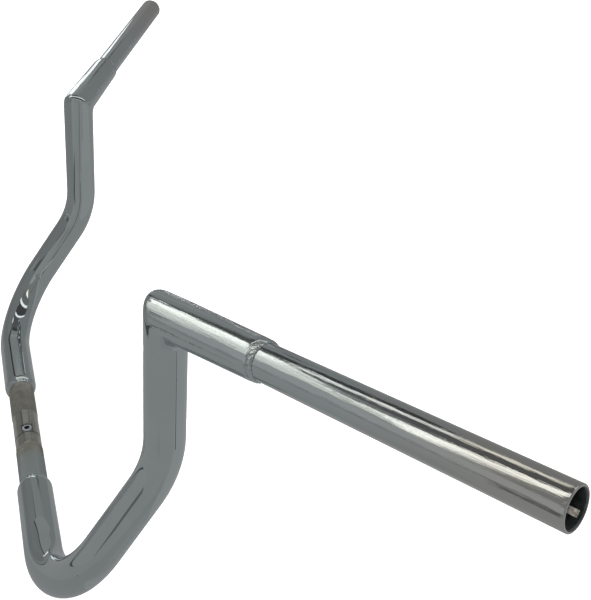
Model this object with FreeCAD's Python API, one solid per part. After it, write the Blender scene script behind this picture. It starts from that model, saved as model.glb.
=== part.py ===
import FreeCAD, Part
import math
import os

# Motorcycle handlebar with tall risers, made of two welded tube halves that a dowel joins at the clamp.
# Millimetres. X runs along the clamp section, Y back towards the rider, Z up along the risers.
# The origin is the middle of the clamp section. The left half is on the +X side.

# Tubes: 1 1/4 inch risers and stubs, 1 inch clamp section and grips
FAT_OD = 31.75
BAR_OD = 25.4
GRIP_WALL = 2.1
CLAMP_WALL = 3.1
SPIGOT_LENGTH = 38.0      # turned-down end of a thin tube, inside the fat tube
SPIGOT_STEP = 0.5         # radial step of that end, which seats against the fat tube's end
FIT_CLEARANCE = 0.12      # radial gap of a spigot or the dowel in its tube
SHOULDER_RADIUS = 3.0     # rounding of a fat tube's end where the thin tube comes out
SHOULDER_SHARE = 0.85     # most of the wall that this rounding may take
RIM_CHAMFER = 0.5         # broken edges of the open grip end

# Route of one half, from the clamp out to the grip
CLAMP_LENGTH = 152.5      # thin clamp section between the two shoulders
RISER_SPACING = 459.0     # between the two risers' centre lines
LOWER_BEND_RADIUS = 73.0
SLANT_BACK = 88.0         # how far the slanted stretch carries the riser back
SLANT_HEIGHT = 132.0      # height of the bend from the slant into the upright riser
UPPER_BEND_RADIUS = 91.0
CORNER_HEIGHT = 263.0     # height of the mitred corner
PULLBACK_ANGLE = 26.5     # grip turned back from straight sideways, degrees
UPSWEEP_ANGLE = 7.25      # grip rising towards its end, degrees
STUB_LENGTH = 96.5        # fat tube from the corner to the grip's shoulder
STUB_STRAIGHT = 18.0      # plain stretch of it past the corner, before its taper
STUB_END_OD = 29.4        # what it tapers down to at the shoulder
GRIP_LENGTH = 213.5       # thin tube from the shoulder to the open end

# Clamp section: a turned band in the middle with a knurled zone on each side
SEAM_X = 10.2             # where the two halves meet, off centre towards the left
BAND_LENGTH = 52.0
BAND_RELIEF = 0.3         # radial depth of the turned band
KNURL_LENGTH = 47.0
KNURL_RISE = 0.15         # radial height of the knurl over the plain tube

# Dowel that joins the halves, and the socket set screw that locks it
DOWEL_LENGTH = 100.0
DOWEL_CHAMFER = 1.0
SCREW_X = 3.2
SCREW_DIAMETER = 9.5
SCREW_LENGTH = 8.0
SCREW_CLEARANCE = 0.1     # radial, between the plain screw and its tapped hole
SCREW_RECESS = 0.5        # how far the screw's face lies under the band
SOCKET_WIDTH = 5.0        # hexagon key size, across flats
SOCKET_DEPTH = 4.5
SCREW_CHAMFER = 0.8
HOLE_CHAMFER = 0.8

fat_radius = FAT_OD / 2
bar_radius = BAR_OD / 2
spigot_radius = bar_radius - SPIGOT_STEP
fat_bore = spigot_radius + FIT_CLEARANCE
clamp_bore = bar_radius - CLAMP_WALL
clamp_half = CLAMP_LENGTH / 2
riser_x = RISER_SPACING / 2
screw_top = bar_radius - BAND_RELIEF - SCREW_RECESS
reach = CORNER_HEIGHT + STUB_LENGTH + GRIP_LENGTH      # longer than any cut or tool needs

ORIGIN = FreeCAD.Vector(0, 0, 0)
SIDEWAYS = FreeCAD.Vector(1, 0, 0)
UP = FreeCAD.Vector(0, 0, 1)
pullback = math.radians(PULLBACK_ANGLE)
upsweep = math.radians(UPSWEEP_ANGLE)
GRIP_AXIS = FreeCAD.Vector(math.cos(upsweep) * math.cos(pullback),
                           math.cos(upsweep) * math.sin(pullback), math.sin(upsweep))
LOWER_BEND = FreeCAD.Vector(riser_x, 0, 0)
UPPER_BEND = FreeCAD.Vector(riser_x, SLANT_BACK, SLANT_HEIGHT)
CORNER = FreeCAD.Vector(riser_x, SLANT_BACK, CORNER_HEIGHT)
GRIP_SHOULDER = CORNER + GRIP_AXIS * STUB_LENGTH
SCREW_FACE = FreeCAD.Vector(SCREW_X, 0, screw_top)


def direction(start, end):
    """Unit vector from one point to another."""
    return (end - start).normalize()


def bend(point, coming, leaving, radius):
    """Arc of that radius that rounds the corner at a point, with its two ends."""
    half_turn = coming.getAngle(leaving) / 2
    setback = radius * math.tan(half_turn)
    start = point - coming * setback
    end = point + leaving * setback
    inwards = (leaving - coming).normalize()
    middle = point + inwards * (radius / math.cos(half_turn) - radius)
    return Part.Arc(start, middle, end).toShape(), start, end


def rod(path, radius):
    """Solid round bar along a path of straight runs and arcs."""
    first = path[0]
    start = first.valueAt(first.FirstParameter)
    heading = first.tangentAt(first.FirstParameter)
    section = Part.Wire(Part.makeCircle(radius, start, heading))
    return Part.Wire(path).makePipeShell([section], True, False)


def tube(path, outer, inner):
    """Bent tube along a path."""
    return rod(path, outer).cut(rod(path, inner))


def half_space(point, normal):
    """Block that fills the side of a plane that its normal points to."""
    block = Part.makeBox(2 * reach, 2 * reach, reach, FreeCAD.Vector(-reach, -reach, 0))
    block.Placement = FreeCAD.Placement(point, FreeCAD.Rotation(UP, normal))
    return block


def rims_at(solid, centre):
    """Round edges of a tube's end, the widest one first."""
    rims = [edge for edge in solid.Edges
            if isinstance(edge.Curve, Part.Circle)
            and edge.Curve.Center.distanceToPoint(centre) < FIT_CLEARANCE]
    return sorted(rims, key=lambda edge: -edge.Curve.Radius)


def round_shoulder(solid, centre):
    """Rounds the outer edge of a fat tube's end, as far as its wall allows."""
    outer_rim = rims_at(solid, centre)[0]
    wall = outer_rim.Curve.Radius - fat_bore
    return solid.makeFillet(min(SHOULDER_RADIUS, SHOULDER_SHARE * wall), [outer_rim])


def turned(profile):
    """Solid of revolution about X, from (x, radius) points."""
    points = [FreeCAD.Vector(x, 0, radius) for x, radius in profile]
    face = Part.Face(Part.makePolygon(points + points[:1]))
    return face.revolve(ORIGIN, SIDEWAYS, 360)


def riser():
    """Fat tube bent twice: out of the clamp, back and up, then upright to the mitred corner."""
    start = FreeCAD.Vector(clamp_half, 0, 0)
    slant = direction(LOWER_BEND, UPPER_BEND)
    lower_arc, lower_in, lower_out = bend(LOWER_BEND, SIDEWAYS, slant, LOWER_BEND_RADIUS)
    upper_arc, upper_in, upper_out = bend(UPPER_BEND, slant, UP, UPPER_BEND_RADIUS)
    past_corner = CORNER + UP * FAT_OD
    path = [Part.makeLine(start, lower_in), lower_arc, Part.makeLine(lower_out, upper_in),
            upper_arc, Part.makeLine(upper_out, past_corner)]
    solid = round_shoulder(tube(path, fat_radius, fat_bore), start)
    return solid.cut(half_space(CORNER, UP + GRIP_AXIS))


def stub():
    """Short fat tube from the mitred corner, tapered to the shoulder where the grip comes out."""
    solid = turned([(-FAT_OD, fat_bore), (-FAT_OD, fat_radius), (STUB_STRAIGHT, fat_radius),
                    (STUB_LENGTH, STUB_END_OD / 2), (STUB_LENGTH, fat_bore)])
    solid.Placement = FreeCAD.Placement(CORNER, FreeCAD.Rotation(SIDEWAYS, GRIP_AXIS))
    solid = round_shoulder(solid, GRIP_SHOULDER)
    return solid.cut(half_space(CORNER, -UP - GRIP_AXIS))


def grip_tube():
    """Thin tube that the hand grip slides on, open at its outer end, seated in the stub."""
    bore = bar_radius - GRIP_WALL
    solid = turned([(-SPIGOT_LENGTH, bore), (-SPIGOT_LENGTH, spigot_radius), (0, spigot_radius),
                    (0, bar_radius), (GRIP_LENGTH, bar_radius), (GRIP_LENGTH, bore)])
    solid.Placement = FreeCAD.Placement(GRIP_SHOULDER, FreeCAD.Rotation(SIDEWAYS, GRIP_AXIS))
    open_end = GRIP_SHOULDER + GRIP_AXIS * GRIP_LENGTH
    return solid.makeChamfer(RIM_CHAMFER, rims_at(solid, open_end))


def clamp_tube(side, seam):
    """Half of the clamp section: turned band, knurled zone and the spigot inside the riser."""
    band = BAND_LENGTH / 2
    knurl_end = band + KNURL_LENGTH
    spigot_end = clamp_half + SPIGOT_LENGTH
    profile = [(seam, clamp_bore), (seam, bar_radius - BAND_RELIEF),
               (side * band, bar_radius - BAND_RELIEF), (side * band, bar_radius + KNURL_RISE),
               (side * knurl_end, bar_radius + KNURL_RISE), (side * knurl_end, bar_radius),
               (side * clamp_half, bar_radius), (side * clamp_half, spigot_radius),
               (side * spigot_end, spigot_radius), (side * spigot_end, clamp_bore)]
    return turned(profile)


def screw_hole():
    """Tapped hole through the band and into the dowel, with a broken edge at its mouth."""
    radius = SCREW_DIAMETER / 2 + SCREW_CLEARANCE
    floor = SCREW_FACE - UP * SCREW_LENGTH
    hole = Part.makeCylinder(radius, reach, floor, UP)
    mouth = SCREW_FACE + UP * (SCREW_RECESS - HOLE_CHAMFER)
    edge = Part.makeCone(radius, radius + HOLE_CHAMFER, HOLE_CHAMFER, mouth, UP)
    return hole.fuse(edge)


def dowel():
    """Round bar pressed into the left half that carries the right half on it."""
    radius = clamp_bore - FIT_CLEARANCE
    left = SEAM_X + DOWEL_LENGTH / 2
    right = SEAM_X - DOWEL_LENGTH / 2
    profile = [(right, 0), (right, radius - DOWEL_CHAMFER), (right + DOWEL_CHAMFER, radius),
               (left - DOWEL_CHAMFER, radius), (left, radius - DOWEL_CHAMFER), (left, 0)]
    return turned(profile).cut(screw_hole())


def set_screw():
    """Socket set screw: headless, with a hexagon socket and chamfered ends."""
    body = Part.makeCylinder(SCREW_DIAMETER / 2, SCREW_LENGTH, SCREW_FACE, -UP)
    rims = [edge for edge in body.Edges if edge.Closed]
    body = body.makeChamfer(SCREW_CHAMFER, rims)
    corner = SOCKET_WIDTH / math.sqrt(3)
    turns = [math.radians(60 * k) for k in range(7)]
    hexagon = [SCREW_FACE + FreeCAD.Vector(corner * math.cos(a), corner * math.sin(a), 0) for a in turns]
    socket = Part.Face(Part.makePolygon(hexagon)).extrude(-UP * SOCKET_DEPTH)
    return body.cut(socket)


def mirrored(solid):
    """The same piece on the right half."""
    return solid.mirror(ORIGIN, SIDEWAYS)


pieces = {
    "left_clamp_tube": clamp_tube(1, SEAM_X),
    "right_clamp_tube": clamp_tube(-1, SEAM_X).cut(screw_hole()),
    "joining_dowel": dowel(),
    "set_screw": set_screw(),
}
for name, make in {"riser": riser, "stub": stub, "grip_tube": grip_tube}.items():
    solid = make()
    pieces["left_" + name] = solid
    pieces["right_" + name] = mirrored(solid)

os.makedirs("parts", exist_ok=True)
for name, solid in pieces.items():
    solid.exportStep("parts/" + name + ".step")
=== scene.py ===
import math

import bmesh
import bpy
from mathutils import Matrix, Vector


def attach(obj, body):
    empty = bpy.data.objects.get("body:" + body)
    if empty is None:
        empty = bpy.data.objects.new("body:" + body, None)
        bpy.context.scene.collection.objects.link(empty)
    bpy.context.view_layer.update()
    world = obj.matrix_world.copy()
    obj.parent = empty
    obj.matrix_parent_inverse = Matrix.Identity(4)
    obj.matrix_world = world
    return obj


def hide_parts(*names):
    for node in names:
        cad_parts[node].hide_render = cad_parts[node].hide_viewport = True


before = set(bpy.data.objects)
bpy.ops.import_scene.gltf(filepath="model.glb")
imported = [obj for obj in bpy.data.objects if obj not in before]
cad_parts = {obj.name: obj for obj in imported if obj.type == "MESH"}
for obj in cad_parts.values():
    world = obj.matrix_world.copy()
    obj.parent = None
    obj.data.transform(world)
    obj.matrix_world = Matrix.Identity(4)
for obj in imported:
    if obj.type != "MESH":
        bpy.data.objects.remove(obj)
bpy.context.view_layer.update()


# Clamp section: two halves of one inch steel tube that meet in a butt seam and sit in the fork clamps.
# Each half is turned on a lathe: a smooth relieved band in the middle, a diamond knurl for the clamp to bite,
# and a spigot that is pushed into the fat tube. The steel is dull and stained where the clamps sat.
MM = 0.001
NEAR = 0.1 * MM
ALONG = Vector((1, 0, 0))
CLAMP_CORNERS = 108
CLAMP_LENGTH = 152.5 * MM
CLAMP_END = CLAMP_LENGTH / 2
CLAMP_RADIUS = 12.7 * MM
CLAMP_WALL = 3.1 * MM
CLAMP_BORE = CLAMP_RADIUS - CLAMP_WALL
SPIGOT_LENGTH = 38 * MM
SPIGOT_END = CLAMP_END + SPIGOT_LENGTH
SPIGOT_STEP = 0.5 * MM
SPIGOT_RADIUS = CLAMP_RADIUS - SPIGOT_STEP
SEAM_X = 10.2 * MM
SEAM_GAP = 0.15 * MM
SEAM_CHAMFER = 0.5 * MM
BAND_LENGTH = 52 * MM
BAND_END = BAND_LENGTH / 2
BAND_RELIEF = 0.3 * MM
BAND_RADIUS = CLAMP_RADIUS - BAND_RELIEF
BAND_RING = 13 * MM
BAND_SUPPORT = 0.7 * MM
HOLE_RINGS = (3.2 * MM, 6 * MM, 9 * MM)
KNURL_LENGTH = 47 * MM
KNURL_END = BAND_END + KNURL_LENGTH
KNURL_ROWS = 60
KNURL_FLOOR = 12.58 * MM
KNURL_TIP = 12.9 * MM
KNURL_EDGE = 0.4 * MM
SKIN_MERGE = 0.004 * MM


def pick_vertices(piece, wanted):
    """Edit mode selection by place: the vertices whose position the test accepts."""
    cage = bmesh.from_edit_mesh(piece.data)
    for vertex in cage.verts:
        vertex.select_set(wanted(vertex.co))
    cage.select_flush_mode()
    bmesh.update_edit_mesh(piece.data)


def make_active(piece):
    """Selects this piece alone."""
    bpy.ops.object.select_all(action="DESELECT")
    piece.select_set(True)
    bpy.context.view_layer.objects.active = piece


def carry_ring(start, axis, profile):
    """Extrudes the selected ring from each (distance, radius) step of the profile to the next one."""
    for (s0, r0), (s1, r1) in zip(profile, profile[1:]):
        bpy.ops.mesh.extrude_region_move(TRANSFORM_OT_translate={"value": axis * (s1 - s0)})
        if r1 != r0:
            bpy.ops.transform.resize(value=(r1 / r0,) * 3, center_override=start + axis * s1)


def lathe(name, start, axis, profile, corners):
    """Turns a piece in edit mode: a ring is carried along the axis through the steps of the profile."""
    first_s, first_r = profile[0]
    bpy.ops.object.select_all(action="DESELECT")
    bpy.ops.mesh.primitive_circle_add(
        vertices=corners,
        radius=first_r,
        location=start + axis * first_s,
        rotation=axis.to_track_quat("Z", "Y").to_euler(),
    )
    piece = bpy.context.object
    piece.name = name
    bpy.ops.object.transform_apply(location=True, rotation=True, scale=True)
    bpy.ops.object.mode_set(mode="EDIT")
    bpy.ops.mesh.select_mode(type="VERT")
    bpy.ops.mesh.select_all(action="SELECT")
    carry_ring(start, axis, profile)
    return piece


def close_skin(merge=SKIN_MERGE):
    """Merges the ring ends of the piece in edit mode and turns its faces outwards."""
    bpy.ops.mesh.select_all(action="SELECT")
    bpy.ops.mesh.remove_doubles(threshold=merge)
    bpy.ops.mesh.normals_make_consistent(inside=False)
    bpy.ops.object.mode_set(mode="OBJECT")


def clamp_half(name, side, inner_x):
    """One half of the clamp section, from its seam to the end of its spigot. side is +1 or -1 along X."""
    axis = ALONG * side
    seam = inner_x * side
    pitch = (KNURL_END - BAND_END) / KNURL_ROWS
    profile = [
        (seam, CLAMP_BORE),
        (seam, BAND_RADIUS - SEAM_CHAMFER),
        (seam + SEAM_CHAMFER, BAND_RADIUS),
        *((ring, BAND_RADIUS) for ring in HOLE_RINGS if side < 0),
        (BAND_RING, BAND_RADIUS),
        (BAND_END - BAND_SUPPORT, BAND_RADIUS),
        (BAND_END - KNURL_EDGE, BAND_RADIUS),
    ]
    profile += [(BAND_END + pitch * row, KNURL_FLOOR) for row in range(KNURL_ROWS + 1)]
    profile += [
        (KNURL_END + KNURL_EDGE, CLAMP_RADIUS),
        (CLAMP_END, CLAMP_RADIUS),
        (CLAMP_END, SPIGOT_RADIUS),
        (SPIGOT_END, SPIGOT_RADIUS),
        (SPIGOT_END, CLAMP_BORE),
        (seam, CLAMP_BORE),
    ]
    piece = lathe(name, Vector((0, 0, 0)), axis, profile, CLAMP_CORNERS)

    def is_tip(place):
        """Every other vertex of the knurled zone, like the squares of one colour on a chess board."""
        row = (place.x * side - BAND_END) / pitch
        if row < 0.5 or row > KNURL_ROWS - 0.5 or math.hypot(place.y, place.z) < BAND_RADIUS:
            return False
        corner = math.atan2(place.y, place.z) / (2 * math.pi) * CLAMP_CORNERS
        return (round(row) + round(corner)) % 2 == 0

    pick_vertices(piece, is_tip)
    rise = KNURL_TIP / KNURL_FLOOR
    bpy.ops.transform.resize(value=(1, rise, rise), center_override=(0, 0, 0))
    pick_vertices(piece, lambda place: BAND_END - NEAR < place.x * side < KNURL_END + NEAR)
    bpy.ops.mesh.quads_convert_to_tris(quad_method="SHORTEST_DIAGONAL", ngon_method="BEAUTY")
    close_skin()
    return piece


def cut_away(piece, tool, name):
    """Takes the shape of the tool out of the piece and puts the tool away."""
    make_active(piece)
    cut = piece.modifiers.new(name, "BOOLEAN")
    cut.operation = "DIFFERENCE"
    cut.solver = "EXACT"
    cut.object = tool
    bpy.ops.object.modifier_apply(modifier=cut.name)
    bpy.data.objects.remove(tool, do_unlink=True)


left_clamp = clamp_half("left_clamp_section", 1, SEAM_X + SEAM_GAP)
right_clamp = clamp_half("right_clamp_section", -1, SEAM_X - SEAM_GAP)

# The tapped hole for the set screw goes down through the top wall of the right half, with a broken edge.
UP = Vector((0, 0, 1))
SCREW_X = 3.2 * MM
SCREW_FOOT = Vector((SCREW_X, 0, 0))
ROUND_CORNERS = 72
AXIS_DOT = 0.05 * MM
AXIS_MERGE = 0.2 * MM
HOLE_RADIUS = 5.1 * MM
HOLE_MOUTH = 5.8 * MM
DRILL_TIP = 6 * MM
DRILL_TOP = 16 * MM
HOLE_EDGE_FROM = 11.65 * MM
HOLE_EDGE_TO = 12.45 * MM
HOLE_PROFILE = [
    (DRILL_TIP, AXIS_DOT),
    (DRILL_TIP, HOLE_RADIUS),
    (HOLE_EDGE_FROM, HOLE_RADIUS),
    (HOLE_EDGE_TO, HOLE_MOUTH),
    (DRILL_TOP, HOLE_MOUTH),
    (DRILL_TOP, AXIS_DOT),
]
drill = lathe("hole_drill", SCREW_FOOT, UP, HOLE_PROFILE, ROUND_CORNERS)
close_skin(AXIS_MERGE)
cut_away(right_clamp, drill, "tapped_hole")


def node_adder(tree):
    """A function that adds one node to the tree. Its inputs are linked to sockets or set to values."""

    def add(kind, inputs=None, **settings):
        node = tree.nodes.new(kind)
        for key, value in settings.items():
            setattr(node, key, value)
        for key, value in (inputs or {}).items():
            if isinstance(value, bpy.types.NodeSocket):
                tree.links.new(value, node.inputs[key])
            else:
                node.inputs[key].default_value = value
        return node

    return add


def node_tree(name):
    """A new material, its Principled shader, and functions that add a node and link two sockets."""
    material = bpy.data.materials.new(name)
    material.use_nodes = True
    tree = material.node_tree
    return material, tree.nodes["Principled BSDF"], node_adder(tree), tree.links.new


def ramp_of(add, factor, *stops):
    """A colour ramp with (position, grey or colour) stops."""
    node = add("ShaderNodeValToRGB", {"Fac": factor})
    while len(node.color_ramp.elements) < len(stops):
        node.color_ramp.elements.new(0.5)
    for element, (position, value) in zip(node.color_ramp.elements, stops):
        element.position = position
        element.color = (*value, 1) if isinstance(value, tuple) else (value, value, value, 1)
    return node.outputs["Color"]


def blend(add, share, first, second):
    """A mix of two colours by a share from 0 to 1."""
    return add("ShaderNodeMix", {"Factor": share, 6: first, 7: second}, data_type="RGBA").outputs[2]


# Knurled steel: warm grey with a little oil stain. On the left half, from about 40 mm, plating runs over it.
knurled_steel, shader, add, link = node_tree("knurled_steel")
place = add("ShaderNodeTexCoord").outputs["Object"]
blotch = add("ShaderNodeTexNoise", {"Vector": place, "Scale": 140.0, "Detail": 6.0, "Roughness": 0.65})
stain = ramp_of(
    add,
    blotch.outputs["Fac"],
    (0.3, (0.31, 0.3, 0.265)),
    (0.55, (0.4, 0.39, 0.35)),
    (0.75, (0.45, 0.43, 0.38)),
)
apart = add("ShaderNodeSeparateXYZ", {"Vector": place})
ragged = add("ShaderNodeTexNoise", {"Vector": place, "Scale": 60.0, "Detail": 4.0})
edge = add(
    "ShaderNodeMath",
    {0: ragged.outputs["Fac"], 1: 0.02, 2: apart.outputs["X"]},
    operation="MULTIPLY_ADD",
)
plated = add("ShaderNodeMapRange", {"Value": edge.outputs[0], "From Min": 0.046, "From Max": 0.056})
tone = blend(add, plated.outputs["Result"], stain, (0.4, 0.45, 0.45, 1))
link(tone, shader.inputs["Base Color"])
gloss = ramp_of(add, blotch.outputs["Fac"], (0.3, 0.5), (0.7, 0.36))
dull = add("ShaderNodeMix", {"Factor": plated.outputs["Result"], 2: gloss, 3: 0.45})
link(dull.outputs[0], shader.inputs["Roughness"])
shader.inputs["Metallic"].default_value = 1.0

# Turned steel of the middle band: lathe lines round the tube, a little stain.
turned_steel, shader, add, link = node_tree("turned_steel")
place = add("ShaderNodeTexCoord").outputs["Object"]
stretched = add("ShaderNodeMapping", {"Vector": place, "Scale": (2600.0, 40.0, 40.0)})
lines = add("ShaderNodeTexNoise", {"Vector": stretched.outputs[0], "Scale": 1.0, "Detail": 2.0})
blotch = add("ShaderNodeTexNoise", {"Vector": place, "Scale": 110.0, "Detail": 5.0})
stain = ramp_of(add, blotch.outputs["Fac"], (0.3, (0.43, 0.43, 0.38)), (0.7, (0.5, 0.51, 0.46)))
link(stain, shader.inputs["Base Color"])
gloss = ramp_of(add, lines.outputs["Fac"], (0.35, 0.1), (0.65, 0.17))
link(gloss, shader.inputs["Roughness"])
groove = add("ShaderNodeBump", {"Height": lines.outputs["Fac"], "Strength": 0.06, "Distance": 0.05 * MM})
link(groove.outputs["Normal"], shader.inputs["Normal"])
shader.inputs["Metallic"].default_value = 1.0

# Oily steel, painted near-black, for the tapped hole, the dirty edge of the seam and the inside of the
# screw's socket. In the hole and the socket the near-black is also painted shade of these recesses.
oily_steel_painted_shade, shader, add, link = node_tree("oily_steel_painted_shade")
place = add("ShaderNodeTexCoord").outputs["Object"]
grain = add("ShaderNodeTexNoise", {"Vector": place, "Scale": 900.0, "Detail": 4.0})
link(ramp_of(add, grain.outputs["Fac"], (0.3, 0.015), (0.7, 0.05)), shader.inputs["Base Color"])
link(ramp_of(add, grain.outputs["Fac"], (0.3, 0.4), (0.7, 0.6)), shader.inputs["Roughness"])

SMOOTH_ANGLE = math.radians(28)


def finish_piece(piece, slot, *nodes):
    """Smooths the shading over shallow edges, hangs the piece on the body and replaces its solids."""
    make_active(piece)
    bpy.ops.object.shade_smooth_by_angle(angle=SMOOTH_ANGLE)
    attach(piece, "root")
    if nodes:
        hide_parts(*nodes)


for piece, node in ((left_clamp, "left_clamp_tube"), (right_clamp, "right_clamp_tube")):
    piece.data.materials.append(knurled_steel)
    piece.data.materials.append(turned_steel)
    piece.data.materials.append(oily_steel_painted_shade)
    for face in piece.data.polygons:
        x = face.center.x
        in_hole = face.center.z > 0 and math.hypot(x - SCREW_X, face.center.y) < HOLE_MOUTH - NEAR
        at_seam = piece is right_clamp and x > SEAM_X - SEAM_GAP - SEAM_CHAMFER
        knurled = BAND_END - KNURL_EDGE < abs(x) < KNURL_END + KNURL_EDGE
        # Hole walls and the seam's edge get the near-black steel: dirt at the seam, and painted shade in the
        # hole.
        if in_hole or at_seam:
            face.material_index = 2
        else:
            face.material_index = 0 if knurled else 1
    finish_piece(piece, "knurled_clamp", node)


# Joining dowel: a round bar of drawn steel inside the clamp section, across the seam.
# The set screw locks it. It is out of sight, so the solid itself stays and only gets the look of drawn steel.
drawn_steel, shader, add, link = node_tree("drawn_steel")
place = add("ShaderNodeTexCoord").outputs["Object"]
stretched = add("ShaderNodeMapping", {"Vector": place, "Scale": (30.0, 1500.0, 1500.0)})
lines = add("ShaderNodeTexNoise", {"Vector": stretched.outputs[0], "Scale": 1.0, "Detail": 3.0})
link(ramp_of(add, lines.outputs["Fac"], (0.3, 0.3), (0.7, 0.42)), shader.inputs["Base Color"])
link(ramp_of(add, lines.outputs["Fac"], (0.3, 0.28), (0.7, 0.42)), shader.inputs["Roughness"])
shader.inputs["Metallic"].default_value = 1.0
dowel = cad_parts["joining_dowel"]
dowel.data.materials.clear()
dowel.data.materials.append(drawn_steel)


# Set screw: a socket screw in the top of the clamp section, turned down until it bites on the dowel.
# Its face lies just under the surface, with a hexagon socket for the key and a chamfered rim.
SCREW_RECESS = 0.5 * MM
SCREW_LENGTH = 8 * MM
SCREW_TOP = BAND_RADIUS - SCREW_RECESS
SCREW_BOTTOM = SCREW_TOP - SCREW_LENGTH
SCREW_RADIUS = 4.75 * MM
SCREW_POINT = 0.8 * MM
SCREW_PROFILE = [
    (SCREW_BOTTOM, AXIS_DOT),
    (SCREW_BOTTOM, SCREW_RADIUS - SCREW_POINT),
    (SCREW_BOTTOM + SCREW_POINT, SCREW_RADIUS),
    (SCREW_TOP - 0.7 * MM, SCREW_RADIUS),
    (SCREW_TOP - 0.25 * MM, SCREW_RADIUS - 0.2 * MM),
    (SCREW_TOP, SCREW_RADIUS - 0.55 * MM),
    (SCREW_TOP, AXIS_DOT),
]
SOCKET_WIDTH = 5.3 * MM
SOCKET_RADIUS = SOCKET_WIDTH / math.sqrt(3)
SOCKET_DEPTH = 4.5 * MM
SOCKET_TURN = 0.3
screw = lathe("clamp_set_screw", SCREW_FOOT, UP, SCREW_PROFILE, ROUND_CORNERS)
close_skin(AXIS_MERGE)
bpy.ops.object.select_all(action="DESELECT")
bpy.ops.mesh.primitive_cylinder_add(
    vertices=6,
    radius=SOCKET_RADIUS,
    depth=2 * SOCKET_DEPTH,
    location=SCREW_FOOT + UP * SCREW_TOP,
    rotation=(0, 0, SOCKET_TURN),
)
key = bpy.context.object
bpy.ops.object.transform_apply(location=True, rotation=True, scale=True)
cut_away(screw, key, "hexagon_socket")

screw_steel, shader, add, link = node_tree("screw_steel")
place = add("ShaderNodeTexCoord").outputs["Object"]
grain = add("ShaderNodeTexNoise", {"Vector": place, "Scale": 900.0, "Detail": 4.0})
bright = ramp_of(add, grain.outputs["Fac"], (0.3, (0.23, 0.25, 0.28)), (0.7, (0.32, 0.34, 0.37)))
link(bright, shader.inputs["Base Color"])
link(ramp_of(add, grain.outputs["Fac"], (0.3, 0.34), (0.7, 0.46)), shader.inputs["Roughness"])
shader.inputs["Metallic"].default_value = 0.4
screw.data.materials.append(screw_steel)
screw.data.materials.append(oily_steel_painted_shade)
for face in screw.data.polygons:
    from_axis = math.hypot(face.center.x - SCREW_X, face.center.y)
    in_socket = from_axis < SOCKET_RADIUS * 0.95 and face.center.z > SCREW_TOP - SOCKET_DEPTH - NEAR
    # The inside of the socket gets the near-black steel, which paints the shade in the hexagon recess.
    face.material_index = 1 if in_socket else 0
finish_piece(screw, "screw_steel", "set_screw")


# Fat tubes: 1 1/4 inch steel tube, bent twice on a mandrel and sawn to a mitre at the top.
# A short tapered stub is welded on there and the weld is ground flush, so that only a soft edge is left.
# All of it is chromed.
TUBE_CORNERS = 120
FAT_RADIUS = 15.875 * MM
FIT_CLEARANCE = 0.12 * MM
FAT_BORE = SPIGOT_RADIUS + FIT_CLEARANCE
SHOULDER_LENGTH = 6.5 * MM
SHOULDER_DROP = 3.0 * MM
RISER_X = 229.5 * MM
SLANT_BACK = 88 * MM
SLANT_HEIGHT = 132 * MM
CORNER_HEIGHT = 263 * MM
LOWER_RADIUS = 73 * MM
UPPER_RADIUS = 91 * MM
LOWER_BEND = Vector((RISER_X, 0, 0))
UPPER_BEND = Vector((RISER_X, SLANT_BACK, SLANT_HEIGHT))
CORNER = Vector((RISER_X, SLANT_BACK, CORNER_HEIGHT))
BASE_RINGS = (12 * MM, 40 * MM)
BASE_END = RISER_X - LOWER_RADIUS
PULLBACK = math.radians(26.5)
UPSWEEP = math.radians(7.25)
LEVEL = math.cos(UPSWEEP)
GRIP_AXIS = Vector((math.cos(PULLBACK) * LEVEL, math.sin(PULLBACK) * LEVEL, math.sin(UPSWEEP)))
STUB_STRAIGHT = 18 * MM
STUB_LENGTH = 96.5 * MM
STUB_END_RADIUS = 14.7 * MM
STUB_SHOULDER = 3.0 * MM
STUB_DROP = 1.9 * MM
TAPER_RINGS = (0.05, 0.35, 0.65, 0.94)
MITRE_OUTER = 3.4 * MM
MITRE_INNER = 7.5 * MM
MITRE_GUARD = 6.6 * MM
MITRE_AREA = 60 * MM
SAW_SPARE = 40 * MM
OUTER_TURN = math.radians(2)
BORE_TURN = math.radians(6)


def round_over(s_from, r_top, length, drop, rising=True):
    """Steps of a quarter round between an end face at s_from and the tube's own radius r_top."""
    turn = [math.pi / 2 * step / 8 for step in range(9)]
    arc = [(s_from + length * (1 - math.cos(a)), r_top - drop * (1 - math.sin(a))) for a in turn]
    return arc if rising else [(2 * s_from - s, r) for s, r in reversed(arc)]


def mirrored(vector, side):
    """The same place or direction on the given side of the bar."""
    return Vector((vector.x * side, vector.y, vector.z))


def bend_ring(corner, before, after, radius, step):
    """Spins the selected ring round a bend. Returns how much of each straight leg the bend takes."""
    angle = before.angle(after)
    reach = radius * math.tan(angle / 2)
    inward = (after - before * before.dot(after)).normalized()
    hub = corner - before * reach + inward * radius
    swing = before.cross(after).normalized()
    bpy.ops.mesh.spin(steps=round(angle / step), angle=-angle, center=hub, axis=swing)
    return reach


def grind_mitre(skin, top, mitre, inner, radius):
    """Rounds the edge of the mitre, more on the inside of the corner than on the outside."""
    width = skin.data.attributes.new("bevel_weight_edge", "FLOAT", "EDGE")
    for edge in skin.data.edges:
        ends = [skin.data.vertices[index].co - top for index in edge.vertices]
        if all(abs(end.dot(mitre)) < 0.01 * MM for end in ends):
            share = (ends[0] + ends[1]).dot(inner) / (2 * radius) * 0.5 + 0.5
            share = min(max(share, 0), 1) ** 1.5
            wide = MITRE_OUTER + (MITRE_INNER - MITRE_OUTER) * share
            width.data[edge.index].value = wide / MITRE_INNER
    make_active(skin)
    ground = skin.modifiers.new("ground_weld", "BEVEL")
    ground.limit_method = "WEIGHT"
    ground.width = MITRE_INNER
    ground.segments = 7
    ground.use_clamp_overlap = False
    bpy.ops.object.modifier_apply(modifier=ground.name)


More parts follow.
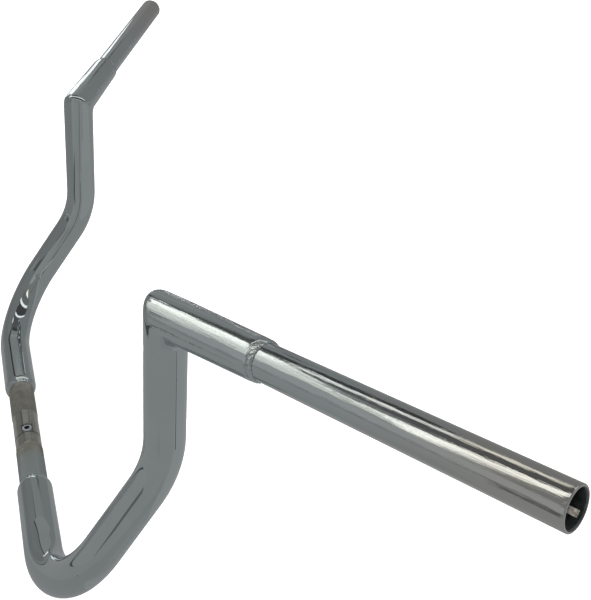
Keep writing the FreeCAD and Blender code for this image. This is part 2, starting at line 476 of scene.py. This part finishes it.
def tube_skin(name, side, start_profile, end_profile, turn_step, soft_mitre):
    """One skin of a fat tube, from the clamp to the grip shoulder. side is +1 or -1 along X."""
    along = ALONG * side
    lower, upper, top = (mirrored(point, side) for point in (LOWER_BEND, UPPER_BEND, CORNER))
    grip = mirrored(GRIP_AXIS, side)
    slant = (upper - lower).normalized()
    radius = start_profile[-1][1]
    skin = lathe(name, Vector((0, 0, 0)), along, start_profile, TUBE_CORNERS)
    lower_reach = bend_ring(lower, along, slant, LOWER_RADIUS, turn_step)
    upper_reach = UPPER_RADIUS * math.tan(slant.angle(UP) / 2)
    length = (upper - lower).length - lower_reach - upper_reach
    carry_ring(lower, slant, [(lower_reach + length * k / 4, radius) for k in range(5)])
    bend_ring(upper, slant, UP, UPPER_RADIUS, turn_step)
    length = (top - upper).length - upper_reach
    carry_ring(upper, UP, [(upper_reach + length * k / 6, radius) for k in range(6)])

    bpy.ops.mesh.extrude_region_move(TRANSFORM_OT_translate={"value": UP * (length / 6 + SAW_SPARE)})
    mitre = (UP + grip).normalized()
    bpy.ops.mesh.select_all(action="SELECT")
    bpy.ops.mesh.bisect(plane_co=top, plane_no=mitre, clear_outer=True)
    bpy.ops.mesh.extrude_region_move(TRANSFORM_OT_translate={"value": grip * (STUB_STRAIGHT + SAW_SPARE)})
    bpy.ops.mesh.select_all(action="SELECT")
    bpy.ops.mesh.bisect(plane_co=top + grip * STUB_STRAIGHT, plane_no=grip, clear_outer=True)
    carry_ring(top, grip, [(STUB_STRAIGHT, radius)] + end_profile)
    if soft_mitre:
        for guard in (MITRE_GUARD, -MITRE_GUARD):
            pick_vertices(skin, lambda place: (place - top).length < MITRE_AREA)
            bpy.ops.mesh.bisect(plane_co=top + mitre * guard, plane_no=mitre)
    bpy.ops.object.mode_set(mode="OBJECT")
    if soft_mitre:
        grind_mitre(skin, top, mitre, (grip - UP).normalized(), radius)
    return skin


def fat_tube(name, side):
    """Outer and inner skin joined at the two end faces into one closed tube."""
    start = [(CLAMP_END, FAT_BORE)] + round_over(CLAMP_END, FAT_RADIUS, SHOULDER_LENGTH, SHOULDER_DROP)
    start += [(CLAMP_END + ring, FAT_RADIUS) for ring in BASE_RINGS]
    start.append((BASE_END, FAT_RADIUS))
    taper = STUB_LENGTH - STUB_SHOULDER
    end = []
    for share in TAPER_RINGS:
        reach = STUB_STRAIGHT + (taper - STUB_STRAIGHT) * share
        end.append((reach, FAT_RADIUS + (STUB_END_RADIUS - FAT_RADIUS) * share))
    end += round_over(STUB_LENGTH, STUB_END_RADIUS, STUB_SHOULDER, STUB_DROP, rising=False)
    end.append((STUB_LENGTH, FAT_BORE))
    outer = tube_skin(name, side, start, end, OUTER_TURN, True)
    bore_start = [(CLAMP_END, FAT_BORE), (BASE_END, FAT_BORE)]
    inner = tube_skin(name + "_bore", side, bore_start, [(STUB_LENGTH, FAT_BORE)], BORE_TURN, False)
    make_active(outer)
    inner.select_set(True)
    bpy.ops.object.join()
    bpy.ops.object.mode_set(mode="EDIT")
    close_skin()
    return outer


def chrome_plate(name, axis, grain, film_start):
    """Bright chrome on steel: polishing lines along the tube, a faint ripple, thin haze, some pits.
    film_start is the distance along the axis where a thin warm film of old oil begins."""
    material, shader, add, link = node_tree(name)
    place = add("ShaderNodeTexCoord").outputs["Object"]
    turned = add(
        "ShaderNodeMapping",
        {"Vector": place, "Rotation": axis.to_track_quat("Z", "Y").to_euler(), "Scale": (1.0, 1.0, 14.0)},
        vector_type="TEXTURE",
    )
    polish = add("ShaderNodeTexNoise", {"Vector": turned.outputs[0], "Scale": 900.0, "Detail": 3.0})
    ripple = add("ShaderNodeTexNoise", {"Vector": place, "Scale": 190.0, "Detail": 2.0})
    haze = add("ShaderNodeTexNoise", {"Vector": place, "Scale": 24.0, "Detail": 4.0})
    clean = ramp_of(add, haze.outputs["Fac"], (0.3, (0.515, 0.565, 0.57)), (0.7, (0.545, 0.6, 0.605)))
    pits = add("ShaderNodeTexNoise", {"Vector": place, "Scale": 330.0, "Detail": 2.0})
    pitted = add("ShaderNodeMapRange", {"Value": pits.outputs["Fac"], "From Min": 0.77, "From Max": 0.8})
    tone = blend(add, pitted.outputs["Result"], clean, (0.2, 0.17, 0.13, 1))
    reach = add("ShaderNodeVectorMath", {0: place, 1: axis}, operation="DOT_PRODUCT")
    wavy = add(
        "ShaderNodeMath",
        {0: haze.outputs["Fac"], 1: 0.1, 2: reach.outputs["Value"]},
        operation="MULTIPLY_ADD",
    )
    film = add(
        "ShaderNodeMapRange",
        {"Value": wavy.outputs[0], "From Min": film_start, "From Max": film_start + 0.1},
    )
    oiled = blend(add, film.outputs["Result"], tone, (0.55, 0.552, 0.53, 1))
    link(oiled, shader.inputs["Base Color"])
    link(ramp_of(add, haze.outputs["Fac"], (0.35, 0.03), (0.75, 0.08)), shader.inputs["Roughness"])
    lines = add("ShaderNodeBump", {"Height": polish.outputs["Fac"], "Strength": grain, "Distance": 0.1 * MM})
    waves = add(
        "ShaderNodeBump",
        {
            "Height": ripple.outputs["Fac"],
            "Strength": 0.04,
            "Distance": 0.3 * MM,
            "Normal": lines.outputs["Normal"],
        },
    )
    link(waves.outputs["Normal"], shader.inputs["Normal"])
    shader.inputs["Metallic"].default_value = 1.0
    return material


RISER_GRAIN = 0.02
GRIP_GRAIN = 0.9
GRIP_FILM = 0.5
NO_FILM = 9.0
SIDES = ((1, "left"), (-1, "right"))
riser_chrome = chrome_plate("riser_chrome", UP, RISER_GRAIN, NO_FILM)
grip_chrome = {}
for side, word in SIDES:
    axis = mirrored(GRIP_AXIS, side)
    grip_chrome[side] = chrome_plate(f"{word}_grip_chrome", axis, GRIP_GRAIN, GRIP_FILM)
    tube = fat_tube(f"{word}_bent_tube", side)
    tube.data.materials.append(riser_chrome)
    tube.data.materials.append(grip_chrome[side])
    top = mirrored(CORNER, side)
    mitre = (UP + axis).normalized()
    for face in tube.data.polygons:
        face.material_index = 1 if (face.center - top).dot(mitre) > 0 else 0
    finish_piece(tube, "chrome", f"{word}_riser", f"{word}_stub")


# Grip tubes: one inch chromed tube, its spigot pushed into the stub and welded round the shoulder.
# The open end is faced off square and its edges are broken. The bore is bare, dark steel.
GRIP_LENGTH = 213.5 * MM
GRIP_RADIUS = 12.7 * MM
GRIP_WALL = 2.1 * MM
GRIP_BORE = GRIP_RADIUS - GRIP_WALL
GRIP_START = STUB_LENGTH - SPIGOT_LENGTH
GRIP_END = STUB_LENGTH + GRIP_LENGTH
GRIP_RINGS = (STUB_LENGTH + 60 * MM, STUB_LENGTH + 130 * MM, GRIP_END - 4 * MM)
RIM_ROUND = 0.7 * MM
RIM_CONE = 0.9 * MM
BORE_PITCH = 2.5 * MM
BORE_ROWS = 24

bore_steel, shader, add, link = node_tree("bore_steel")
place = add("ShaderNodeTexCoord").outputs["Object"]
scale = add("ShaderNodeTexNoise", {"Vector": place, "Scale": 260.0, "Detail": 5.0})
dark = ramp_of(add, scale.outputs["Fac"], (0.3, (0.08, 0.095, 0.095)), (0.7, (0.17, 0.19, 0.19)))
link(dark, shader.inputs["Base Color"])
link(ramp_of(add, scale.outputs["Fac"], (0.3, 0.3), (0.7, 0.45)), shader.inputs["Roughness"])
shader.inputs["Metallic"].default_value = 0.85

# The tube is rolled from strip, and the weld along it stands up inside the bore as a rough flash. Its pale,
# near-white colour is a painted highlight, standing for light caught inside the bore.
flash_painted_highlight, shader, add, link = node_tree("flash_painted_highlight")
place = add("ShaderNodeTexCoord").outputs["Object"]
crust = add("ShaderNodeTexNoise", {"Vector": place, "Scale": 420.0, "Detail": 4.0})
# Painted highlight: the pale, near-white tone stands for light caught inside the bore.
painted_highlight_tone = ramp_of(add, crust.outputs["Fac"], (0.38, (0.3, 0.25, 0.18)), (0.52, (1.0, 0.95, 0.85)))
link(painted_highlight_tone, shader.inputs["Base Color"])
link(ramp_of(add, crust.outputs["Fac"], (0.3, 0.25), (0.7, 0.5)), shader.inputs["Roughness"])
rough = add("ShaderNodeBump", {"Height": crust.outputs["Fac"], "Strength": 0.6, "Distance": 0.8 * MM})
link(rough.outputs["Normal"], shader.inputs["Normal"])
shader.inputs["Metallic"].default_value = 0.25
FLASH_SIDE = Vector((-0.204, 0.625, -0.755))
FLASH_HALF = math.radians(11)
FLASH_EDGE = math.radians(12.1)
FLASH_RISE = 0.7 * MM
FLASH_START = 66 * MM
FLASH_END = GRIP_END - 3 * MM

for side, word in SIDES:
    top = mirrored(CORNER, side)
    axis = mirrored(GRIP_AXIS, side)
    flash_side = mirrored(FLASH_SIDE, side)
    profile = [
        (GRIP_START, GRIP_BORE),
        (GRIP_START, SPIGOT_RADIUS),
        (STUB_LENGTH, SPIGOT_RADIUS),
        (STUB_LENGTH, GRIP_RADIUS),
    ]
    profile += [(ring, GRIP_RADIUS) for ring in GRIP_RINGS]
    profile += round_over(GRIP_END, GRIP_RADIUS, RIM_ROUND, RIM_ROUND, rising=False)
    profile += [(GRIP_END, GRIP_BORE + RIM_ROUND), (GRIP_END - RIM_CONE, GRIP_BORE)]
    profile += [(GRIP_END - BORE_PITCH * row, GRIP_BORE) for row in range(1, BORE_ROWS + 1)]
    profile.append((GRIP_START, GRIP_BORE))
    tube = lathe(f"{word}_grip", top, axis, profile, TUBE_CORNERS)

    def off_axis(place):
        """From the tube's axis straight out to the place."""
        reach = place - top
        return reach - axis * reach.dot(axis)

    def on_flash(place, half):
        """Whether the place lies on the bore, within the flash's length and half width."""
        across = off_axis(place)
        if across.length > GRIP_BORE + NEAR or across.angle(flash_side) > half:
            return False
        return FLASH_START < (place - top).dot(axis) < FLASH_END

    pick_vertices(tube, lambda place: on_flash(place, FLASH_HALF))
    bpy.ops.transform.translate(value=-flash_side * FLASH_RISE)
    close_skin()
    tube.data.materials.append(grip_chrome[side])
    tube.data.materials.append(bore_steel)
    tube.data.materials.append(flash_painted_highlight)
    for face in tube.data.polygons:
        face.material_index = 1 if off_axis(face.center).length < GRIP_BORE + RIM_ROUND else 0
        if on_flash(face.center, FLASH_EDGE):
            face.material_index = 2
    finish_piece(tube, "chrome", f"{word}_grip_tube")


# Weld beads: one run of weld round each joint between a thick and a thin tube, brushed and chromed with them.
# The run is rounded, and the steps of the weld can still be felt as a slanting ripple.
BEAD_FOOT = 12.55 * MM
BEAD_CORNERS = 144
BEAD_ARC = 12
BEAD_STEPS = 28
BEAD_SLANT = 2.4 * MM
BEAD_CREST = 0.45
BEAD_RIPPLE = 0.24 * MM
GRIP_BEAD = {"middle": 0.9 * MM, "half": 2.6 * MM, "height": 1.7 * MM}
CLAMP_BEAD = {"middle": 0.5 * MM, "half": 1.7 * MM, "height": 1.15 * MM}


def weld_bead(name, joint, axis, chrome, middle, half, height):
    """One bead round the axis. middle is how far its crest stands beyond the end face of the thick tube."""
    profile = []
    for step in range(BEAD_ARC + 1):
        turn = math.pi * step / BEAD_ARC
        profile.append((middle - half * math.cos(turn), BEAD_FOOT + height * math.sin(turn)))
    profile.append(profile[0])
    bead = lathe(name, joint, axis, profile, BEAD_CORNERS)
    first = axis.orthogonal().normalized()
    second = axis.cross(first)

    def on_crest(place):
        """The crests of the ripple: a share of each step of the weld, slanting along the run."""
        reach = place - joint
        if reach.length < BEAD_FOOT + NEAR:
            return False
        turn = math.atan2(reach.dot(second), reach.dot(first)) / (2 * math.pi)
        return (turn * BEAD_STEPS + reach.dot(axis) / BEAD_SLANT) % 1.0 < BEAD_CREST

    pick_vertices(bead, on_crest)
    bpy.ops.transform.resize(value=(1 + BEAD_RIPPLE / GRIP_RADIUS,) * 3, center_override=joint)
    close_skin()
    bead.data.materials.append(chrome)
    finish_piece(bead, "chrome")


for side, word in SIDES:
    axis = mirrored(GRIP_AXIS, side)
    stub_face = mirrored(CORNER, side) + axis * STUB_LENGTH
    weld_bead(f"{word}_grip_bead", stub_face, axis, grip_chrome[side], **GRIP_BEAD)
    riser_face = ALONG * side * CLAMP_END
    weld_bead(f"{word}_clamp_bead", riser_face, -ALONG * side, riser_chrome, **CLAMP_BEAD)


# Studio: a pale floor, soft lamps and the camera, and round them the room that only the chrome sees.
# The room is a grey dome with flat cards in it: a table, a board on the wall, windows and strip lamps.
FLOOR_Z = -16.1 * MM
CENTRE = Vector((0.0, 0.1, 0.15))


def white_when_seen(tree, lit, shown, out):
    """The shown shader for camera, glossy and transmission rays, and the plain lit shader for other rays."""
    add = node_adder(tree)
    path = add("ShaderNodeLightPath").outputs
    seen = add("ShaderNodeMath", {0: path["Is Camera Ray"], 1: path["Is Glossy Ray"]}, operation="MAXIMUM")
    every = add("ShaderNodeMath", {0: seen.outputs[0], 1: path["Is Transmission Ray"]}, operation="MAXIMUM")
    mix = add("ShaderNodeMixShader", {0: every.outputs[0], 1: lit.outputs[0], 2: shown.outputs[0]})
    tree.links.new(mix.outputs[0], tree.nodes[out].inputs["Surface"])


world = bpy.data.worlds.new("studio_air")
world.use_nodes = True
bpy.context.scene.world = world
ambient = world.node_tree.nodes["Background"]
ambient.inputs["Color"].default_value = (0.5, 0.5, 0.5, 1)
white_air = node_adder(world.node_tree)("ShaderNodeBackground", {"Color": (1, 1, 1, 1)})
white_when_seen(world.node_tree, ambient, white_air, "World Output")

bpy.ops.object.select_all(action="DESELECT")
bpy.ops.mesh.primitive_plane_add(size=10, location=(CENTRE.x, CENTRE.y, FLOOR_Z))
floor = bpy.context.object
floor.name = "studio_floor"
pale_floor, shader, add, link = node_tree("pale_floor")
pale_floor.node_tree.nodes.remove(shader)
chalk = add("ShaderNodeBsdfDiffuse", {"Color": (0.75, 0.75, 0.75, 1)})
glow = add("ShaderNodeEmission", {"Strength": 0.75})
both = add("ShaderNodeAddShader", {0: chalk.outputs[0], 1: glow.outputs[0]})
white_when_seen(pale_floor.node_tree, chalk, both, "Material Output")
floor.data.materials.append(pale_floor)


def reflection_only(sheet, brightness, colour=(1.0, 1.0, 1.0), shades=None, lines=0.0):
    """Makes a sheet that only shows in the chrome. shades are (share, level) steps down the sheet,
    and lines is how uneven its light is, in streaks along it."""
    for rays in ("camera", "diffuse", "shadow", "transmission", "volume_scatter"):
        setattr(sheet, "visible_" + rays, False)
    paint, shader, add, link = node_tree(sheet.name + "_paint")
    paint.node_tree.nodes.remove(shader)
    light = add("ShaderNodeEmission", {"Color": (*colour, 1), "Strength": brightness})
    link(light.outputs[0], paint.node_tree.nodes["Material Output"].inputs["Surface"])
    sheet.data.materials.append(paint)
    if not shades:
        return
    place = add("ShaderNodeTexCoord").outputs["UV"]
    apart = add("ShaderNodeSeparateXYZ", {"Vector": place})
    level = ramp_of(add, apart.outputs["Y"], *shades)
    streak = add("ShaderNodeMapping", {"Vector": place, "Scale": (1.6, 17.0, 1.0)})
    noise = add("ShaderNodeTexNoise", {"Vector": streak.outputs[0], "Scale": 1.0, "Detail": 3.0})
    uneven = add(
        "ShaderNodeMapRange",
        {
            "Value": noise.outputs["Fac"],
            "From Min": 0.35,
            "From Max": 0.65,
            "To Min": 1.0 - lines,
            "To Max": 1.0 + lines,
        },
    )
    streaky = add("ShaderNodeMath", {0: level, 1: uneven.outputs["Result"]}, operation="MULTIPLY")
    power = add("ShaderNodeMath", {0: streaky.outputs[0], 1: brightness}, operation="MULTIPLY")
    link(power.outputs[0], light.inputs["Strength"])


def card(name, corner, along, down, brightness, **look):
    """A flat card spanned by two sides from one corner, in metres."""
    corner, along, down = Vector(corner), Vector(along), Vector(down)
    bpy.ops.object.select_all(action="DESELECT")
    bpy.ops.mesh.primitive_plane_add(size=1)
    plane = bpy.context.object
    plane.name = name
    turn = Matrix((along, down, along.cross(down).normalized())).transposed().to_4x4()
    plane.data.transform(Matrix.Translation(corner + along / 2 + down / 2) @ turn)
    reflection_only(plane, brightness, **look)


bpy.ops.object.select_all(action="DESELECT")
bpy.ops.mesh.primitive_uv_sphere_add(segments=48, ring_count=24, radius=6, location=CENTRE)
room = bpy.context.object
room.name = "studio_room"
reflection_only(room, 0.27)

# The floor of the room and the table that the bar lies on, with its far edge and a dark strip on its top that
# is a painted shadow of the riser.
FLOOR = FLOOR_Z + 0.05 * MM
EDGE = Vector((0.905, -0.425, 0))
EDGE_PLACE = Vector((0.017, -0.284, FLOOR + 0.15 * MM))
EDGE_RAISED = Vector((0.017, -0.284, FLOOR + 0.2 * MM))
card("carpet", (-4.5, -4.5, FLOOR), (9, 0, 0), (0, 9, 0), 0.3)
card("table", (-1.2, -1.2, FLOOR + 0.05 * MM), (2.4, 0, 0), (0, 2.4, 0), 0.345)
card("table_light", (0.275, 0.003, FLOOR + 0.1 * MM), (0.489, 0.755, 0), (-0.639, 0.414, 0), 0.39)
card("table_shade", (0.1, -0.1, FLOOR + 0.1 * MM), (0.32, 0, 0), (0, 0.23, 0), 0.32)
card("floor_beyond", EDGE_PLACE - EDGE * 1.1, EDGE * 2.6, (-0.5, -1.07, 0), 0.28)
card("table_edge", EDGE_RAISED - EDGE * 0.4, EDGE * 1.2, (-0.022, -0.048, 0), 0.08)
# Painted shadow: a dark strip where the riser's shadow falls across the table top.
card("riser_shadow_on_table", (0.38, 0.247, FLOOR + 0.2 * MM), (0.13, 0.145, 0), (0.012, -0.01, 0), 0.06)

# The walls: a pale board with dark edges, plain stretches beside it, and the dark upper part of the room.
card("board", (-1.565, 0.72, 1.72), (0, -1.27, 0), (-0.305, 0, -1.22), 0.3)
card("board_bright", (-1.6, 0.5, 1.24), (0, -1.0, 0), (-0.05, 0, -0.2), 0.36)
card("board_edge_a", (-1.193, -0.368, 1.702), (0.028, -0.146, 0.023), (-0.743, -0.329, -1.186), 0.05)
card("board_edge_b", (-1.522, 0.576, 1.275), (0.01, 0.099, 0.008), (-0.045, 0.012, -0.089), 0.06)
card("board_glint", (-1.696, 0.807, 0.868), (0.002, 0.03, 0.001), (-0.1, 0.016, -0.217), 1.3)
card("wall_corner", (-1.9, -0.75, 1.1), (1.0, -1.0, 0), (0, 0, -1.4), 0.23)
card("wall_dark", (0.0, -1.9, 0.62), (1.7, 0.9, 0), (0, 0, -0.5), 0.12)
card("wall_light", (-0.72, -1.75, 0.8), (0.1, -0.02, 0), (0, 0, -0.65), 0.5)
card("wall_line", (-1.3, -1.42, 0.6), (0.12, -0.1, 0), (0, 0, -0.6), 0.12)
card("low_screen", (0.0, -0.36, 0.17), (0.5, 0, 0), (0, 0, -0.186), 0.36)
card("low_screen_edge", (0.5, -0.36, 0.18), (0.11, 0, 0), (0, 0, -0.16), 0.16)
card("pale_screen", (0.0, -0.58, 0.56), (0.85, 0.1, 0), (0, 0.06, -0.35), 0.44)
card("upper_dark", (-1.56, 0.75, 2.36), (0, -1.2, 0), (0, 0, -0.62), 0.07)
card("upper_mid", (-1.56, -0.45, 2.36), (0.3, -0.95, 0), (0, 0, -0.62), 0.15)
card("ceiling_dark", (-1.56, -1.2, 2.36), (1.7, 0, 0), (0, 1.95, 0), 0.13)

# Strip lamps over the bar and windows at its side, which make the long streaks on the stubs and grips.
STRIP_SHADES = ((0.0, 0.25), (0.2, 1.0), (0.8, 1.0), (1.0, 0.25))
LAMPLIGHT = (1.0, 0.98, 0.93)
WARM_LAMPLIGHT = (1.0, 0.95, 0.86)
DAYLIGHT = (1.0, 0.98, 0.92)
card(
    "strip_lamp",
    (-0.177, -0.009, 0.8),
    (0.173, 0.268, 0),
    (0.091, -0.132, 0),
    1.25,
    colour=LAMPLIGHT,
    shades=STRIP_SHADES,
    lines=0.4,
)
card(
    "strip_lamp_end",
    (-0.021, 0.27, 0.8),
    (0.055, 0.22, 0),
    (0.127, -0.155, 0),
    1.1,
    colour=WARM_LAMPLIGHT,
    shades=STRIP_SHADES,
    lines=0.4,
)
card("strip_lamp_rim", (0.1, 0.36, 0.79), (0.06, 0.1, 0), (0.17, -0.02, 0), 1.1, colour=WARM_LAMPLIGHT)
card("window_frame", (-1.367, -0.434, 1.369), (0.16, 0.129, 0.415), (0.241, -0.131, -0.118), 0.15)
card(
    "window_top",
    (-1.047, -0.596, 1.225),
    (0.21, 0.083, 0.347),
    (0.577, -0.308, -0.271),
    1.8,
    colour=DAYLIGHT,
    shades=((0.0, 1.0), (0.5, 0.95), (0.8, 0.75), (1.0, 0.65)),
    lines=0.5,
)
card(
    "window_a",
    (-0.703, -0.83, 0.962),
    (0.592, -0.053, 0.324),
    (0.29, -0.308, -0.487),
    1.3,
    colour=DAYLIGHT,
    shades=((0.0, 1.0), (0.3, 0.75), (0.65, 0.68), (0.85, 0.46), (1.0, 0.36)),
    lines=0.5,
)
card(
    "window_b",
    (-0.082, -0.898, 1.194),
    (0.021, 0.901, 0.672),
    (0.42, -0.377, -0.611),
    1.7,
    colour=DAYLIGHT,
    shades=((0.0, 0.7), (0.08, 1.0), (0.65, 0.85), (0.78, 0.4), (0.86, 0.2), (1.0, 0.2)),
    lines=0.5,
)
card("window_c", (0.1, 0.87, 1.45), (0.8, 0, 0), (0, 0.1, -0.5), 1.0)

# Small lamps and screens close to the bar, which light its shoulders and bends.
card("shoulder_lamp", (-1.74, 0.18, 0.95), (0, -0.3, 0), (0, 0, -0.45), 1.6)
card("shoulder_lamp_low", (-1.8, 0.0, 0.5), (0, -0.6, 0), (0, 0, -0.3), 1.5)
card("shoulder_glow", (-0.086, -0.012, 0.03), (0.012, 0, 0), (0, 0.046, 0), 0.9)
card("crescent_lamp", (0.5, 0.2, 0.85), (0, -0.5, 0), (0, 0, -0.23), 1.6, colour=(1.0, 0.94, 0.82))
card("bend_guard", (0.12, -0.012, 0.062), (0, 0.042, 0), (0, 0, -0.034), 0.33)
card("bend_guard_line", (0.12, -0.0155, 0.062), (0, 0.0035, 0), (0, 0, -0.034), 0.09)
card("bend_guard_side", (0.12, -0.03, 0.062), (0, 0.0145, 0), (0, 0, -0.034), 0.24)
card("bend_flag", (-0.405, -0.13, 0.33), (0.42, 0, 0), (0, -0.16, -0.18), 0.25)
card("bend_shade_a", (-0.228, -0.13, 0.3696), (0.108, 0.46, -0.056), (0.1, 0, -0.052), 0.08)
card("bend_shade_b", (-0.12, -0.2, 0.3134), (0.112, 0.44, -0.058), (0.07, 0, -0.0364), 0.2)
card("bend_lamp_a", (-0.146, -0.2, 0.3249), (0.112, 0.44, -0.058), (0.024, 0, -0.0125), 1.4)
card("bend_lamp_b", (-0.254, -0.137, 0.3811), (0.108, 0.46, -0.056), (0.025, 0, -0.013), 1.4)

# Two soft lamps light what isn't mirror bright. The chrome doesn't show them.
KEY_PLACE = Vector((1.2, -1.4, 2.4))
FILL_PLACE = Vector((-1.6, 1.2, 2.6))
for name, place, size, power in (("soft_key", KEY_PLACE, 1.8, 60), ("soft_fill", FILL_PLACE, 2.2, 45)):
    lamp = bpy.data.lights.new(name, "AREA")
    lamp.energy = power
    lamp.size = size
    holder = bpy.data.objects.new(name, lamp)
    holder.location = place
    holder.rotation_euler = (place - CENTRE).to_track_quat("Z", "Y").to_euler()
    holder.visible_glossy = False
    bpy.context.scene.collection.objects.link(holder)

# The camera stands close to the left grip and looks down along the bar. The shift frames it like a crop.
STAND = Vector((0.78265, -0.03416, 0.60974))
RIGHT = Vector((0.30759, 0.95001, 0.05366))
DOWN = Vector((0.40962, -0.0813, -0.90863))
FORWARD = Vector((-0.85884, 0.30146, -0.41415))
camera = bpy.data.cameras.new("photo_camera")
camera.lens = 56.61
camera.sensor_width = 36
camera.shift_x = 0.0417
camera.shift_y = -0.1628
eye = bpy.data.objects.new("photo_camera", camera)
eye.matrix_world = Matrix.Translation(STAND) @ Matrix((RIGHT, -DOWN, -FORWARD)).transposed().to_4x4()
bpy.context.scene.collection.objects.link(eye)
bpy.context.scene.camera = eye
bpy.context.scene.view_settings.view_transform = "Standard"
